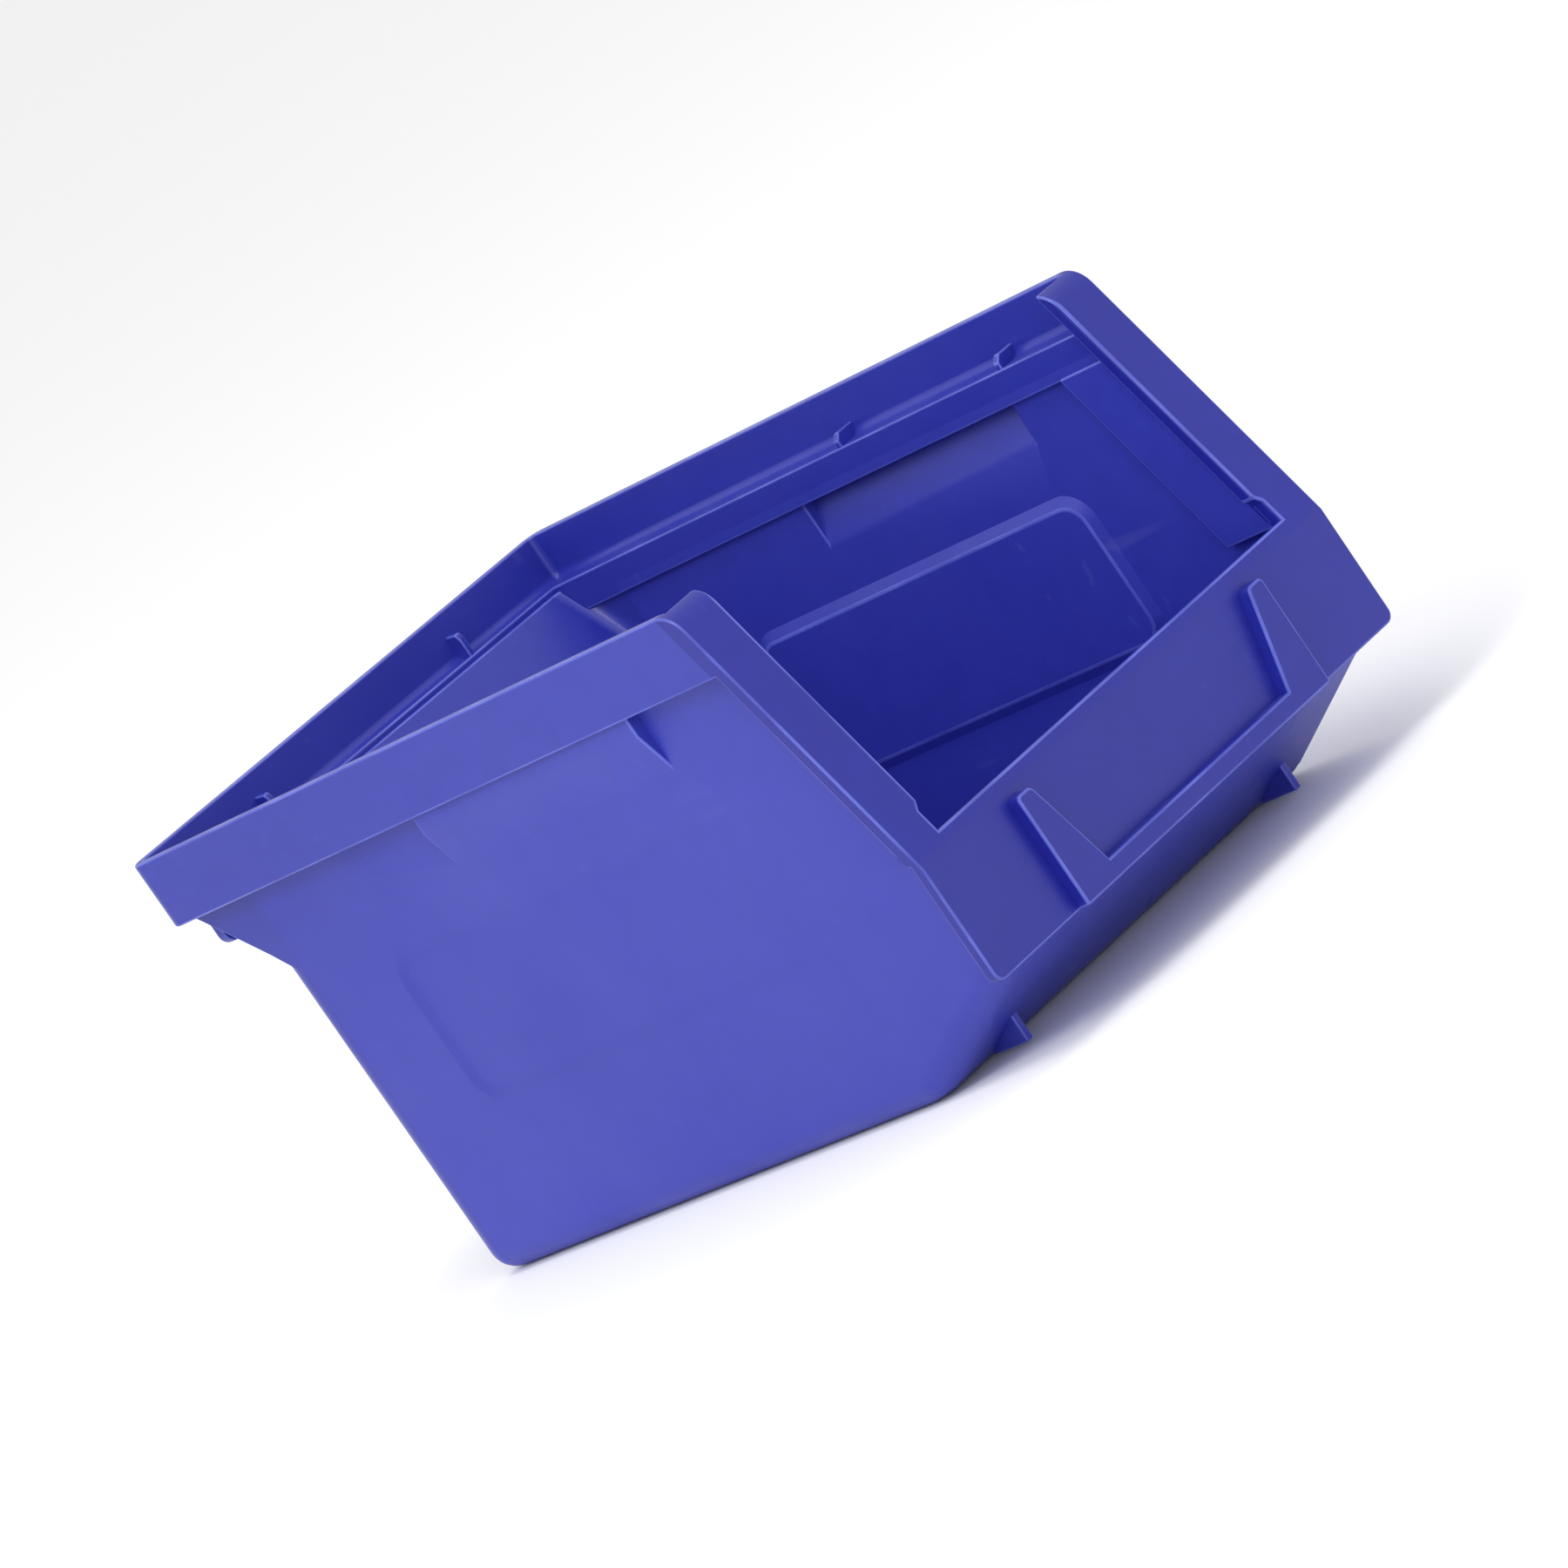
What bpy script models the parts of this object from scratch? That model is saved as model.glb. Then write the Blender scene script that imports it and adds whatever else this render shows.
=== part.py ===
"""Hanging parts bin: an open-front storage bin moulded in blue polypropylene.

Metres, +Z up, +X to the bin's right as its label is read, +Y to the back, where the bin hangs.
The origin is under the middle of the bin, at the level of its base.
"""

import bmesh
import bpy
from math import asin, cos, degrees, radians, sin
from mathutils import Vector

MM = 0.001
GAP = 0.3 * MM  # clearance between neighbouring pieces
SPARE = 1 * MM  # how far a cutter runs past the face that it opens
ARC_STEPS = 6

# Finish
BLUE = (0.035, 0.04, 0.42, 1)
ROUGHNESS = 0.42

# Driving sizes
WIDTH = 152 * MM
DEPTH = 235 * MM
HEIGHT = 124 * MM
WALL = 2.5 * MM

HALF = WIDTH / 2
FRONT = -DEPTH / 2
BACK = DEPTH / 2

# Base and walls
BASE_HALF = 70.8 * MM  # outer face of the side walls
WALL_INNER = BASE_HALF - WALL
BASE_FRONT = -68 * MM  # where the slanted chin meets the base
BACK_WALL_OUTER = 98.5 * MM

# Label plate, chin and the fins under it
PLATE_FACE = FRONT + 3.5 * MM
PLATE_THICK = 3 * MM
PLATE_BACK = PLATE_FACE + PLATE_THICK
PLATE_LOW = 22 * MM
PLATE_TOP = 55 * MM
PLATE_CORNER = 3 * MM  # height of the plate's cut-off top edge
PLATE_CORNER_DEPTH = 1.8 * MM
CHIN_RISE = WALL * 1.135  # the chin's thickness, measured upright
FIN_X = 52 * MM
FIN_FRONT = -83.3 * MM
FIN_LOW = 1.2 * MM
FIN_THICK = 2 * MM
FIN_CLEAR = 1 * MM  # how far a fin's rear end stays from the line where the chin comes down to it

# Label holder on the plate
RIB_OUTER = 46.5 * MM
RIB_INNER_TOP = 41.4 * MM
RIB_INNER_LOW = 34.4 * MM
RIB_TOP = 50 * MM
LABEL_LEDGE_TOP = 26.8 * MM

# Sloping front strips, either side of the opening
SLOPE_LOW = Vector((PLATE_FACE, 51.2 * MM))
SLOPE_TOP = Vector((-92 * MM, HEIGHT))
STRIP_INNER = 63.5 * MM
STRIP_THICK = 3.5 * MM
APEX_RADIUS = 7 * MM
APEX_STEP = 0.4 * MM  # drop from the apex to the strip's rear top edge
FRONT_BAND_INNER = 65.5 * MM
FRONT_BAND_WIDE = 16 * MM

# Stacking rim: a lip that stands on a ledge, along both sides and the back
LIP_THICK = 2.7 * MM
LIP_LOW = 107 * MM
LEDGE_TOP = 112 * MM
LEDGE_INNER = 66.5 * MM
BAND_LOW = 103.6 * MM
BAND_REAR = 104 * MM
BACK_LEDGE_INNER = 110.5 * MM
STOP_HEIGHT = 3.2 * MM
STOP_THICK = 1.8 * MM
STOP_SEAT = 0.8 * MM  # how deep a stop's foot sits in the ledge
STOP_PLACES = {"front": -62 * MM, "rear": -2.5 * MM}
BACK_STOP_X = 36 * MM
BACK_STOP_HEIGHT = 6.5 * MM

# Hanging lip
HANG_LOW = 96 * MM
HANG_HALF = 66 * MM
HANG_SEAT = 0.5 * MM  # the rebate under the back ledge that a panel's tongue bears on
SHOULDER_LOW = 91 * MM
SHOULDER_TOP = BACK_LEDGE_INNER + 1.2 * MM
SHOULDER_THICK = 3 * MM
CHEEK_EDGE = 2 * MM  # how far a cheek's slanted edge lies above the shoulder's foot

# Side wall details
PANEL_FRONT = -60 * MM
PANEL_REAR = 64 * MM
PANEL_LOW = 39 * MM
PANEL_TOP = 80 * MM
PANEL_RAISE = 1.2 * MM
PANEL_EDGE = 2.5 * MM
PANEL_RADIUS = 8 * MM
POCKET_FRONT = -57 * MM
POCKET_REAR = 21 * MM
POCKET_LOW = 93.7 * MM
POCKET_OUTER = 73.5 * MM
POCKET_WALL = 1.5 * MM
POCKET_FOOT = 3 * MM  # how far the pocket's shell reaches below its opening
WINDOW_REACH = 5 * MM  # how far the window's cutter runs past the wall

SIDES = {"left": -1, "right": 1}


def make_material():
    plastic = bpy.data.materials.new("blue_polypropylene")
    plastic.use_nodes = True
    shader = plastic.node_tree.nodes["Principled BSDF"]
    shader.inputs["Base Color"].default_value = BLUE
    shader.inputs["Roughness"].default_value = ROUGHNESS
    shader.inputs["Metallic"].default_value = 0
    return plastic


def clear_scene():
    for old in list(bpy.data.objects):
        bpy.data.objects.remove(old)


def finish_mesh(name, bm, plastic):
    bmesh.ops.recalc_face_normals(bm, faces=bm.faces)
    mesh = bpy.data.meshes.new(name)
    bm.to_mesh(mesh)
    bm.free()
    mesh.materials.append(plastic)
    part = bpy.data.objects.new(name, mesh)
    bpy.context.scene.collection.objects.link(part)
    return part


def prism(name, outline, place, low, high, plastic):
    """Extrudes an outline of (u, v) points from low to high; place(u, v, w) gives each corner."""
    bm = bmesh.new()
    near = [bm.verts.new(place(u, v, low)) for u, v in outline]
    far = [bm.verts.new(place(u, v, high)) for u, v in outline]
    bm.faces.new(near)
    bm.faces.new(list(reversed(far)))
    count = len(outline)
    for i in range(count):
        j = (i + 1) % count
        bm.faces.new((near[j], near[i], far[i], far[j]))
    return finish_mesh(name, bm, plastic)


def along_x(u, v, w):
    """An outline in Y and Z, extruded along X."""
    return Vector((w, u, v))


def along_y(u, v, w):
    """An outline in X and Z, extruded along Y."""
    return Vector((u, w, v))


def box(name, x, y, z, plastic):
    outline = [(y[0], z[0]), (y[1], z[0]), (y[1], z[1]), (y[0], z[1])]
    return prism(name, outline, along_x, x[0], x[1], plastic)


def side_x(side, inner, outer):
    """The two X values of a piece on one side, from its distances to the middle of the bin."""
    return sorted((side * inner, side * outer))


def arc(centre, radius, start, end, steps):
    """Points on an arc, angles in degrees."""
    points = []
    for i in range(steps + 1):
        turn = radians(start + (end - start) * i / steps)
        points.append((centre[0] + radius * cos(turn), centre[1] + radius * sin(turn)))
    return points


def rounded_rectangle(low, high, radius, steps=5):
    """Corner points of a rectangle from low to high, with round corners."""
    centres = (
        (high[0] - radius, high[1] - radius),
        (low[0] + radius, high[1] - radius),
        (low[0] + radius, low[1] + radius),
        (high[0] - radius, low[1] + radius),
    )
    points = []
    for quarter, centre in enumerate(centres):
        points += arc(centre, radius, 90 * quarter, 90 * quarter + 90, steps)
    return points


SLOPE = (SLOPE_TOP - SLOPE_LOW).normalized()
INTO_BIN = Vector((SLOPE.y, -SLOPE.x))


def slope_y(z, behind=0.0):
    """Y at height z of the plane that lies a distance behind the strips' front face."""
    start = SLOPE_LOW + INTO_BIN * behind
    return start.x + SLOPE.x / SLOPE.y * (z - start.y)


def chin_z(y):
    """Height of the chin's outer face at y."""
    reach = (y - PLATE_BACK) / (BASE_FRONT - PLATE_BACK)
    return PLATE_LOW * (1 - reach)


def side_walls(plastic):
    top = LEDGE_TOP - WALL - GAP
    behind = STRIP_THICK + GAP
    floor_top = WALL + GAP
    chin_top = PLATE_LOW + CHIN_RISE + GAP
    front = PLATE_BACK + GAP
    outline = [
        (front, chin_top),
        (BASE_FRONT + GAP, floor_top),
        (BACK_WALL_OUTER, floor_top),
        (BACK_WALL_OUTER, top),
        (slope_y(top, behind), top),
        (slope_y(PLATE_TOP, behind), PLATE_TOP),
        (front, PLATE_TOP),
    ]
    for name, side in SIDES.items():
        low, high = side_x(side, WALL_INNER, BASE_HALF)
        wall = prism(f"{name}_wall", outline, along_x, low, high, plastic)
        low, high = side_x(side, WALL_INNER - WINDOW_REACH, BASE_HALF + WINDOW_REACH)
        window = box(
            f"{name}_pocket_window",
            (low, high),
            (POCKET_FRONT, POCKET_REAR),
            (POCKET_LOW, BAND_LOW),
            plastic,
        )
        window.hide_render = True
        window.display_type = "WIRE"
        cut = wall.modifiers.new("Pocket window", "BOOLEAN")
        cut.object = window


def wall_panels(plastic):
    """Raised fields on the inner faces of the side walls, with a slanted border all round."""
    for name, side in SIDES.items():
        bm = bmesh.new()
        loops = []
        for inset, x in ((0, WALL_INNER - GAP), (PANEL_EDGE, WALL_INNER - GAP - PANEL_RAISE)):
            outline = rounded_rectangle(
                (PANEL_FRONT + inset, PANEL_LOW + inset),
                (PANEL_REAR - inset, PANEL_TOP - inset),
                PANEL_RADIUS - inset,
            )
            loops.append([bm.verts.new((side * x, y, z)) for y, z in outline])
        outer, inner = loops
        bm.faces.new(outer)
        bm.faces.new(list(reversed(inner)))
        for i in range(len(outer)):
            j = (i + 1) % len(outer)
            bm.faces.new((outer[j], outer[i], inner[i], inner[j]))
        finish_mesh(f"{name}_wall_panel", bm, plastic)


def grip_pockets(plastic):
    """Wedge-shaped pockets that bulge out of the side walls, under the ledge."""
    for name, side in SIDES.items():
        inner = BASE_HALF + GAP
        slant = (POCKET_OUTER - BASE_HALF) / (BAND_LOW - POCKET_LOW)
        outer_low = POCKET_LOW - POCKET_FOOT
        outline = [
            (side * inner, outer_low),
            (side * POCKET_OUTER, BAND_LOW - POCKET_WALL),
            (side * POCKET_OUTER, BAND_LOW + POCKET_WALL),
            (side * inner, BAND_LOW + POCKET_WALL),
        ]
        shell = prism(
            f"{name}_grip_pocket",
            outline,
            along_y,
            POCKET_FRONT - POCKET_WALL,
            POCKET_REAR + POCKET_WALL,
            plastic,
        )
        hollow_x = POCKET_OUTER - POCKET_WALL
        hollow_low = POCKET_LOW + (hollow_x - inner) / slant
        hollow = prism(
            f"{name}_pocket_hollow",
            [
                (side * (inner - SPARE), POCKET_LOW),
                (side * inner, POCKET_LOW),
                (side * hollow_x, min(hollow_low, BAND_LOW - SPARE)),
                (side * hollow_x, BAND_LOW),
                (side * (inner - SPARE), BAND_LOW),
            ],
            along_y,
            POCKET_FRONT,
            POCKET_REAR,
            plastic,
        )
        hollow.hide_render = True
        hollow.display_type = "WIRE"
        cut = shell.modifiers.new("Hollow", "BOOLEAN")
        cut.object = hollow


def base(plastic):
    box(
        "floor_panel",
        (-BASE_HALF, BASE_HALF),
        (BASE_FRONT + GAP, BACK_WALL_OUTER),
        (0, WALL),
        plastic,
    )
    chin = [
        (PLATE_BACK + GAP, chin_z(PLATE_BACK + GAP)),
        (BASE_FRONT, chin_z(BASE_FRONT)),
        (BASE_FRONT, chin_z(BASE_FRONT) + CHIN_RISE),
        (PLATE_BACK + GAP, chin_z(PLATE_BACK + GAP) + CHIN_RISE),
    ]
    prism("front_chin", chin, along_x, -BASE_HALF, BASE_HALF, plastic)
    fin_rear = BASE_FRONT + FIN_LOW / PLATE_LOW * (PLATE_BACK - BASE_FRONT)
    fin = [
        (FIN_FRONT, chin_z(FIN_FRONT) - GAP),
        (FIN_FRONT, FIN_LOW),
        (fin_rear - FIN_CLEAR, FIN_LOW),
    ]
    for name, side in SIDES.items():
        low, high = side_x(side, FIN_X - FIN_THICK / 2, FIN_X + FIN_THICK / 2)
        prism(f"{name}_chin_fin", fin, along_x, low, high, plastic)


def back_wall(plastic):
    """The back wall, the shoulder that leans out to the rim, and the cheeks that close its ends."""
    half = WALL_INNER - GAP
    inner = BACK_WALL_OUTER - WALL
    box(
        "back_wall",
        (-half, half),
        (inner, BACK_WALL_OUTER),
        (WALL + GAP, SHOULDER_LOW),
        plastic,
    )
    top = LEDGE_TOP - WALL - GAP
    shoulder = [
        (inner, SHOULDER_LOW + GAP),
        (BACK_WALL_OUTER, SHOULDER_LOW + GAP),
        (SHOULDER_TOP, top),
        (SHOULDER_TOP - SHOULDER_THICK, top),
    ]
    prism("back_shoulder", shoulder, along_x, -half, half, plastic)
    cheek = [
        (BACK_WALL_OUTER + GAP, SHOULDER_LOW + CHEEK_EDGE),
        (BACK - LIP_THICK - GAP, top - CHEEK_EDGE),
        (BACK - LIP_THICK - GAP, top),
        (BACK_WALL_OUTER + GAP, top),
    ]
    for name, side in SIDES.items():
        low, high = side_x(side, WALL_INNER, BASE_HALF)
        prism(f"{name}_shoulder_cheek", cheek, along_x, low, high, plastic)


def stop_seat(y):
    """Outline points, from rear to front, of the notch in a ledge that takes a stop's foot."""
    reach = STOP_THICK / 2 + GAP
    low = LEDGE_TOP - STOP_SEAT
    return [(y + reach, LEDGE_TOP), (y + reach, low), (y - reach, low), (y - reach, LEDGE_TOP)]


def side_rims(plastic):
    lip_inner = HALF - LIP_THICK
    ledge_low = LEDGE_TOP - WALL
    behind = STRIP_THICK + GAP
    rear = BACK - LIP_THICK - GAP
    for name, side in SIDES.items():
        lip = [
            (slope_y(LIP_LOW, behind), LIP_LOW),
            (rear, LIP_LOW),
            (rear, HEIGHT),
            (slope_y(HEIGHT, behind), HEIGHT),
        ]
        low, high = side_x(side, lip_inner, HALF)
        prism(f"{name}_lip", lip, along_x, low, high, plastic)
        low, high = side_x(side, LEDGE_INNER, WALL_INNER - GAP)
        band = [
            (slope_y(BAND_LOW, behind), BAND_LOW),
            (BAND_REAR, BAND_LOW),
            (BAND_REAR, ledge_low - GAP),
            (slope_y(ledge_low - GAP, behind), ledge_low - GAP),
        ]
        prism(f"{name}_upper_band", band, along_x, low, high, plastic)
        ledge = [
            (slope_y(ledge_low, behind), ledge_low),
            (rear, ledge_low),
            (rear, LEDGE_TOP),
        ]
        for y in sorted(STOP_PLACES.values(), reverse=True):
            ledge += stop_seat(y)
        ledge.append((slope_y(LEDGE_TOP, behind), LEDGE_TOP))
        low, high = side_x(side, LEDGE_INNER, lip_inner - GAP)
        prism(f"{name}_ledge", ledge, along_x, low, high, plastic)
        for place, y in STOP_PLACES.items():
            box(
                f"{name}_{place}_stop",
                (low, high),
                (y - STOP_THICK / 2, y + STOP_THICK / 2),
                (LEDGE_TOP - STOP_SEAT + GAP, LEDGE_TOP + STOP_HEIGHT),
                plastic,
            )


def back_rim(plastic):
    rear = BACK - LIP_THICK
    half = LEDGE_INNER - GAP
    low = LEDGE_TOP - WALL
    ledge = [
        (BACK_LEDGE_INNER, low),
        (SHOULDER_TOP + GAP, low),
        (SHOULDER_TOP + GAP, low + HANG_SEAT),
        (rear - GAP, low + HANG_SEAT),
        (rear - GAP, LEDGE_TOP),
        (BACK_LEDGE_INNER, LEDGE_TOP),
    ]
    prism("back_ledge", ledge, along_x, -half, half, plastic)
    box("back_lip", (-HALF, HALF), (rear, BACK), (LEDGE_TOP - WALL, HEIGHT), plastic)
    box(
        "hanging_lip",
        (-HANG_HALF, HANG_HALF),
        (rear, BACK),
        (HANG_LOW, LEDGE_TOP - WALL - GAP),
        plastic,
    )
    for name, side in SIDES.items():
        low, high = side_x(side, BACK_STOP_X - STOP_THICK / 2, BACK_STOP_X + STOP_THICK / 2)
        box(
            f"{name}_back_stop",
            (low, high),
            (BACK_LEDGE_INNER, rear - GAP),
            (LEDGE_TOP + GAP, LEDGE_TOP + BACK_STOP_HEIGHT),
            plastic,
        )


def front_frame(plastic):
    plate = [
        (PLATE_BACK, PLATE_LOW),
        (PLATE_BACK, PLATE_TOP),
        (PLATE_FACE + PLATE_CORNER_DEPTH, PLATE_TOP),
        (PLATE_FACE, PLATE_TOP - PLATE_CORNER),
        (PLATE_FACE, PLATE_LOW),
    ]
    prism("label_plate", plate, along_x, -HALF, HALF, plastic)

    centre_z = HEIGHT - APEX_RADIUS
    centre = (slope_y(centre_z, APEX_RADIUS), centre_z)
    apex = arc(centre, APEX_RADIUS, 90, 180 - degrees(asin(SLOPE.x)), ARC_STEPS)
    low_z = PLATE_TOP + GAP
    strip_rear = slope_y(HEIGHT, STRIP_THICK)
    strip = [(slope_y(low_z, STRIP_THICK), low_z), (strip_rear, HEIGHT - APEX_STEP)]
    strip += [point for point in apex if point[0] < strip_rear - GAP]
    strip.append((slope_y(low_z), low_z))
    band_low = PLATE_TOP + GAP
    band_high = BAND_LOW - GAP
    near = STRIP_THICK + GAP
    far = STRIP_THICK + GAP + FRONT_BAND_WIDE
    band = [
        (slope_y(band_low, near), band_low),
        (slope_y(band_low, far), band_low),
        (slope_y(band_high, far), band_high),
        (slope_y(band_high, near), band_high),
    ]
    for name, side in SIDES.items():
        low, high = side_x(side, STRIP_INNER, HALF)
        prism(f"{name}_front_strip", strip, along_x, low, high, plastic)
        low, high = side_x(side, FRONT_BAND_INNER, WALL_INNER - GAP)
        prism(f"{name}_front_band", band, along_x, low, high, plastic)


def label_holder(plastic):
    rear = PLATE_FACE - GAP
    for name, side in SIDES.items():
        rib = [
            (side * RIB_OUTER, PLATE_LOW),
            (side * RIB_OUTER, RIB_TOP),
            (side * RIB_INNER_TOP, RIB_TOP),
            (side * RIB_INNER_LOW, LABEL_LEDGE_TOP),
            (side * RIB_INNER_LOW, PLATE_LOW),
        ]
        prism(f"{name}_label_rib", rib, along_y, FRONT, rear, plastic)
    reach = RIB_INNER_LOW - GAP
    box("label_ledge", (-reach, reach), (FRONT, rear), (PLATE_LOW, LABEL_LEDGE_TOP), plastic)


def build():
    clear_scene()
    plastic = make_material()
    base(plastic)
    side_walls(plastic)
    wall_panels(plastic)
    grip_pockets(plastic)
    back_wall(plastic)
    side_rims(plastic)
    back_rim(plastic)
    front_frame(plastic)
    label_holder(plastic)


build()
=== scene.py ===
"""Looks of the hanging parts bin: one blue polypropylene moulding, cut into its named pieces.

Metres, +Z up, +Y to the back, in the frame's own axes. Sizes come from the frame's nodes.
"""

from math import atan2, cos, degrees, pi, radians, sin, sqrt

import bmesh
import bpy
from mathutils import Matrix, Vector


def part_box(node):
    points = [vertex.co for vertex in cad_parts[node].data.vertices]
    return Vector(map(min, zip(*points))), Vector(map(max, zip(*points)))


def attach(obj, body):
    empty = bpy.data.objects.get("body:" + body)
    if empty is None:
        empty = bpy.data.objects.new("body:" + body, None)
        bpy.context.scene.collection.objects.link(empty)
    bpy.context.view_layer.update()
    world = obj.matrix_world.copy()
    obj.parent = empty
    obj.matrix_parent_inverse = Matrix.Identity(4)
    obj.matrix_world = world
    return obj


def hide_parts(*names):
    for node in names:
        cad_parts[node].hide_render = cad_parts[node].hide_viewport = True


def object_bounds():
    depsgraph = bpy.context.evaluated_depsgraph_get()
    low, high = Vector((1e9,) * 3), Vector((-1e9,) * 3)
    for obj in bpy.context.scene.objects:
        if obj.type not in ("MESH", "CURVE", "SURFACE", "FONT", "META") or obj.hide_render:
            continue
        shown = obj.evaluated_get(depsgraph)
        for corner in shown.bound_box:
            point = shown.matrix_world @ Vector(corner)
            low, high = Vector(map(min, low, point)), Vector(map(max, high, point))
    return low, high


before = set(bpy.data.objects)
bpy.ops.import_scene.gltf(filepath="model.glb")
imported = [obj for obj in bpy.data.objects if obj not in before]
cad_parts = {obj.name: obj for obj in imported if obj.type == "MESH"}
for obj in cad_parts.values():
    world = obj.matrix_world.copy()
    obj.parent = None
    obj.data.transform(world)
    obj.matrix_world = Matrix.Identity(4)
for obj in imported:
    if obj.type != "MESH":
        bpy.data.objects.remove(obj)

MM = 0.001
CAD_BOX = [[float(value) for value in corner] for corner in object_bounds()]
BODY = "root"
SIDES = {"left": -1, "right": 1}


def extent(node):
    """A node's box as its (low, high) along X, Y and Z."""
    low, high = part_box(node)
    return tuple(zip(low, high))


# Sizes of the whole bin and of its walls, from the frame
HALF = CAD_BOX[1][0]
FRONT = CAD_BOX[0][1]
BACK = CAD_BOX[1][1]
TOP = CAD_BOX[1][2]
(WALL_INNER, WALL_OUTER), _, _ = extent("right_wall")
WALL = WALL_OUTER - WALL_INNER
_, (_, REAR_OUTER), (_, SHOULDER_LOW) = extent("back_wall")
_, (_, BASE_FRONT), (_, CHIN_TOP) = extent("front_chin")
_, (_, SHOULDER_REAR), _ = extent("back_shoulder")

# The label plate and the frame on it
_, (PLATE_FACE, PLATE_BACK), (PLATE_LOW, PLATE_TOP) = extent("label_plate")
(RIB_INNER_LOW, RIB_OUTER), _, (_, RIB_TOP) = extent("right_label_rib")
_, _, (_, LABEL_LEDGE_TOP) = extent("label_ledge")

# The rim
(LIP_INNER, _), _, (LIP_LOW, _) = extent("right_lip")
(LEDGE_INNER, _), _, (LEDGE_LOW, LEDGE_TOP) = extent("right_ledge")
_, (BACK_LEDGE_INNER, _), _ = extent("back_ledge")
(_, HANG_HALF), _, (HANG_LOW, _) = extent("hanging_lip")
_, _, (BAND_LOW, _) = extent("right_upper_band")
(STRIP_INNER, _), (STRIP_FRONT, _), (STRIP_LOW, _) = extent("right_front_strip")
(FRONT_BAND_INNER, _), _, _ = extent("right_front_band")

# The side walls' details
(PANEL_TOP_X, _), (PANEL_FRONT, PANEL_REAR), (PANEL_LOW, PANEL_TOP) = extent("right_wall_panel")
(_, POCKET_OUTER), (POCKET_FRONT, POCKET_REAR), (POCKET_LOW, _) = extent("right_grip_pocket")

# The small ribs
_, (low_y, high_y), _ = extent("right_front_stop")
STOP_FRONT = (low_y + high_y) / 2
STOP_THICK = high_y - low_y
_, (low_y, high_y), (_, stop_top) = extent("right_rear_stop")
STOP_REAR = (low_y + high_y) / 2
STOP_HEIGHT = stop_top - LEDGE_TOP
(low_x, high_x), _, (_, stop_top) = extent("right_back_stop")
BACK_STOP_X = (low_x + high_x) / 2
BACK_STOP_HEIGHT = stop_top - LEDGE_TOP
(low_x, high_x), (FIN_FRONT, FIN_REAR), (FIN_LOW, _) = extent("right_chin_fin")
FIN_X = (low_x + high_x) / 2
FIN_THICK = high_x - low_x

# Sizes that only the looks need
RIB_NIB = 5.1 * MM  # width of a label rib at its top
RIB_NIB_RADIUS = 1.3 * MM
RIB_NIB_STEPS = 4
RIB_FOOT = 0.1 * MM  # how far the label frame's foot stays above the plate's
LIP_THICK = HALF - LIP_INNER
STRIP_THICK = 3.5 * MM
STRIP_JOG = 1.5 * MM  # how much narrower a strip's foot is
JOG_LOW = 5.5 * MM  # over the plate's top edge, where a strip starts to widen
JOG_HIGH = 7.5 * MM
FRONT_BAND_WIDE = 16 * MM
FRONT_BAND_RISE = 0.7 * MM
APEX_RADIUS = 7 * MM
PLATE_RADIUS = 2.5 * MM
HANG_RADIUS = 3 * MM
PANEL_RADIUS = 8 * MM
PANEL_BORDER = 2.5 * MM
PANEL_SUNK = 1 * MM  # how deep the outer face is sunk behind a raised field
POCKET_THICK = 1.5 * MM
POCKET_RISE = 0.8 * MM  # how far a pocket's hollow runs up behind the upper band
HOLLOW_LIFT = 0.2 * MM  # how far a pocket's hollow starts above its opening
CHEEK_SET_BACK = 2 * MM  # from the bin's back, and from the ledge's underside, to a cheek's end
CHEEK_FOOT = 2 * MM  # how far a cheek's foot runs past the tub's round corner
CHEEK_LAP = 0.4 * MM  # how far a cheek runs up into the ledge
CHEEK_INSET = 0.1 * MM  # how far a cheek's inner face stays from the wall's
POCKET_SKIRT = 0.5 * MM  # how far a pocket's outside starts under its opening
GAP_FOOT = 7 * MM  # over the chin, where the gap in the plate's backing starts
GAP_LAP = 0.3 * MM  # how far that gap is cut into the plate itself
CORNER_RADIUS = 4.5 * MM  # the rim's outer corners at the back
INSIDE_RADIUS = 4 * MM
OUTSIDE_RADIUS = INSIDE_RADIUS + WALL
LIP_FILLET = 2 * MM
EDGE_RADIUS = 0.5 * MM
FRAME_EDGE_RADIUS = 0.6 * MM
RIB_EDGE_RADIUS = 0.4 * MM
EDGE_STEPS = 3
STRIP_EDGE_RADIUS = 1.0 * MM

# How features run into each other
STRIP_SPARE = 0.3 * MM  # how far a strip stands out before it is trimmed
CLEAR = 20 * MM  # how far a cutter runs past what it cuts
SINK = 0.6 * MM  # how far one feature is sunk into another, so that they join
PLATE_BACKING = 1.2 * MM  # the tub's own front wall behind the label plate
SPARE = 2 * MM  # how far a feature runs past the place where it is trimmed
LAP = 1 * MM  # how far features overlap where they join
PLATE_LAP = 3 * MM  # how far the tub's front edge lies under the plate's top edge
STRIP_LAP = 2.5 * MM  # how far a strip's foot runs down behind the plate's top edge
STOP_CLEAR = 0.3 * MM  # how far a stop's end stays from the ledge's inner edge

# How meshes are worked
NEAR = 1 * MM  # slack in telling where an edge lies
ALONG = 0.9  # cosine over which an edge counts as running along an axis
ARC_STEPS = 7
ROUND = 0.5  # bevel profile of a true arc
SHARP = radians(28)  # an edge that turns further than this is a corner
FLAT = radians(0.2)  # faces that turn less than this are one
TOUCH = 0.002 * MM  # points nearer than this are one
# Face attribute on the rounded edges: they get a smoother surface, and a painted highlight in their
# colour.
WORN_AND_HIGHLIT = "worn_and_highlit"  # face attribute: 1 on the rounded edges

# Shares of a thickness at which one feature ends inside another
RIM_IN_STRIP = 0.35
BAND_IN_STRIP = 0.65
BAND_INNER_SHARE = 0.35
BAND_OUTER_SHARE = 0.65
LEDGE_OUTER_SHARE = 0.8
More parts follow.
